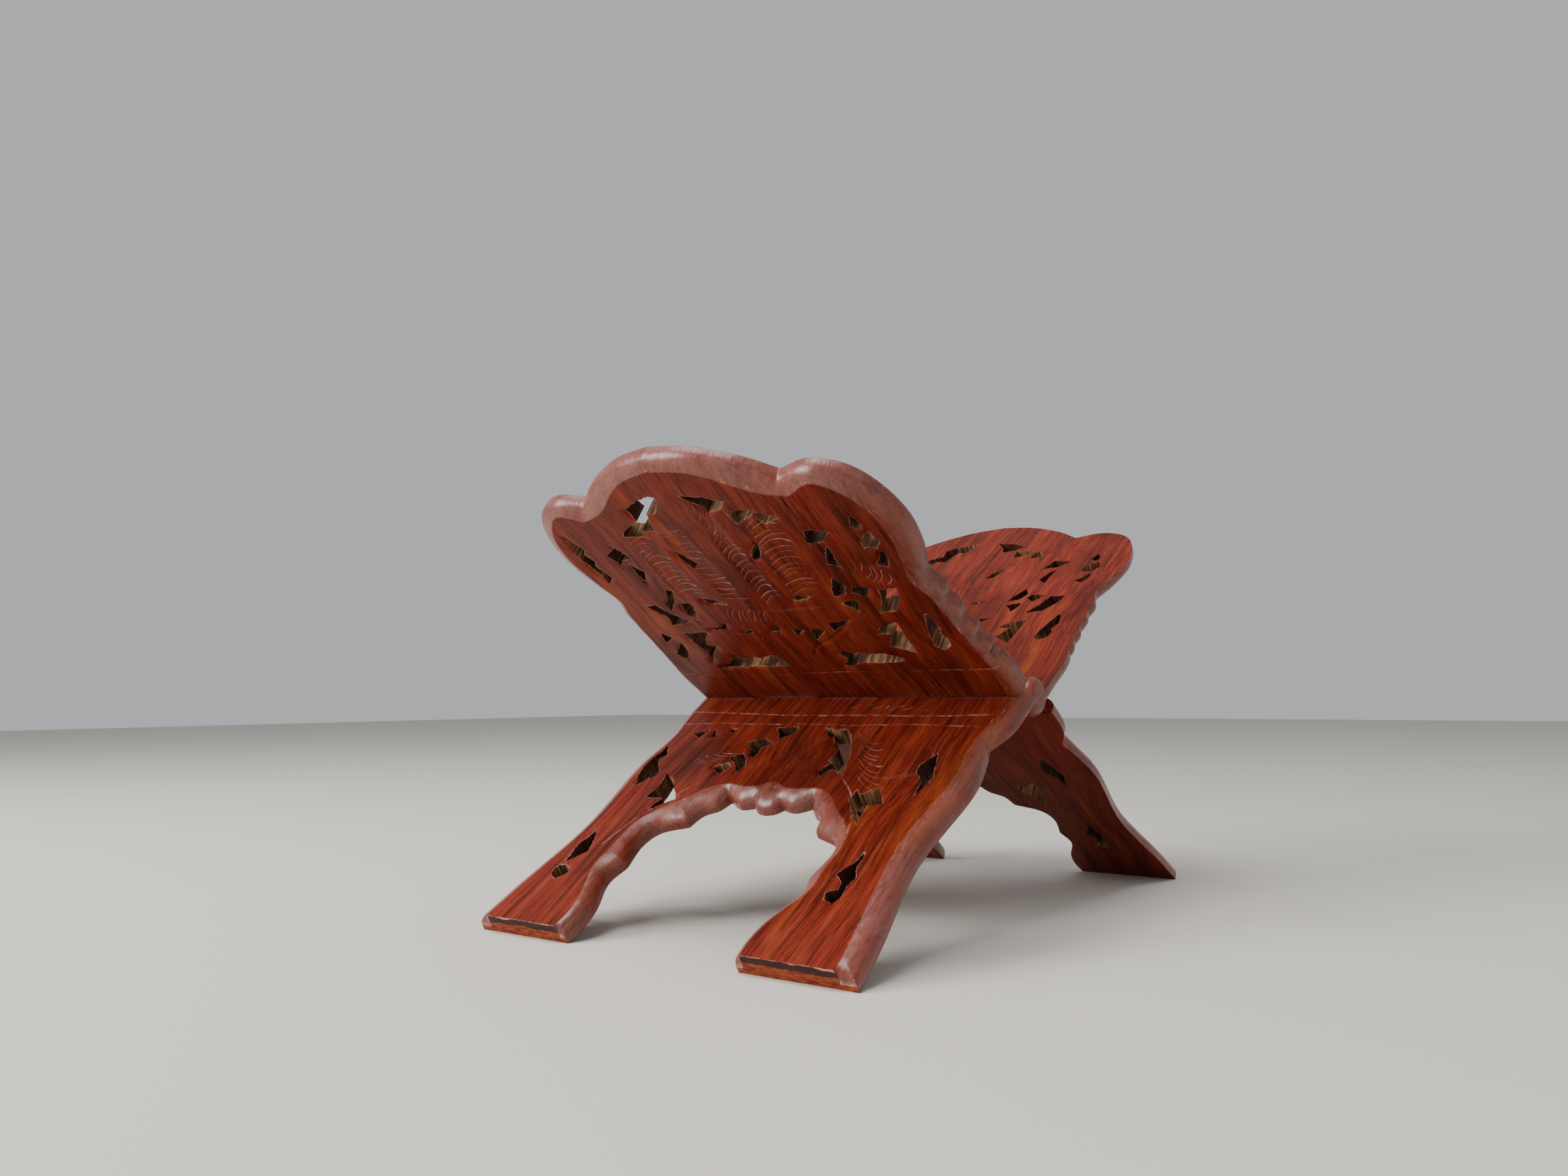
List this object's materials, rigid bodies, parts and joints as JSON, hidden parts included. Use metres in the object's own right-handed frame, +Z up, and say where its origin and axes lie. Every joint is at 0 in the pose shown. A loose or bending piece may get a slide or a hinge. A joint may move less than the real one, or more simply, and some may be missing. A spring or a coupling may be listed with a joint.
{
  "type": "folding book stand",
  "caption": "Folding wooden book stand: two carved leaves linked by solid knuckles open to a V cradle on arched legs.",
  "frame": {"origin": "on the ground, under the middle of the hinge axis", "axes": "+Z up, +X along the hinge, -Y towards the front flap's side"},
  "size_m": [0.199, 0.3228, 0.203],
  "materials": {
    "front_leaf_wood": "red-brown stained rosewood, thin worn wax polish",
    "back_leaf_wood": "red-brown stained rosewood, thin worn wax polish"
  },
  "bodies": {
    "back_leaf": {"back_flap_leaf": "back_leaf_wood"},
    "front_leaf": {"front_flap_leaf": "front_leaf_wood"}
  },
  "joints": [
    {"name": "hinge_fold", "type": "hinge", "parent": "back_leaf", "child": "front_leaf", "pos_m": [0, 0, 0.10069], "axis": [-1, 0, 0], "range_deg": [0, 114.2]}
  ]
}
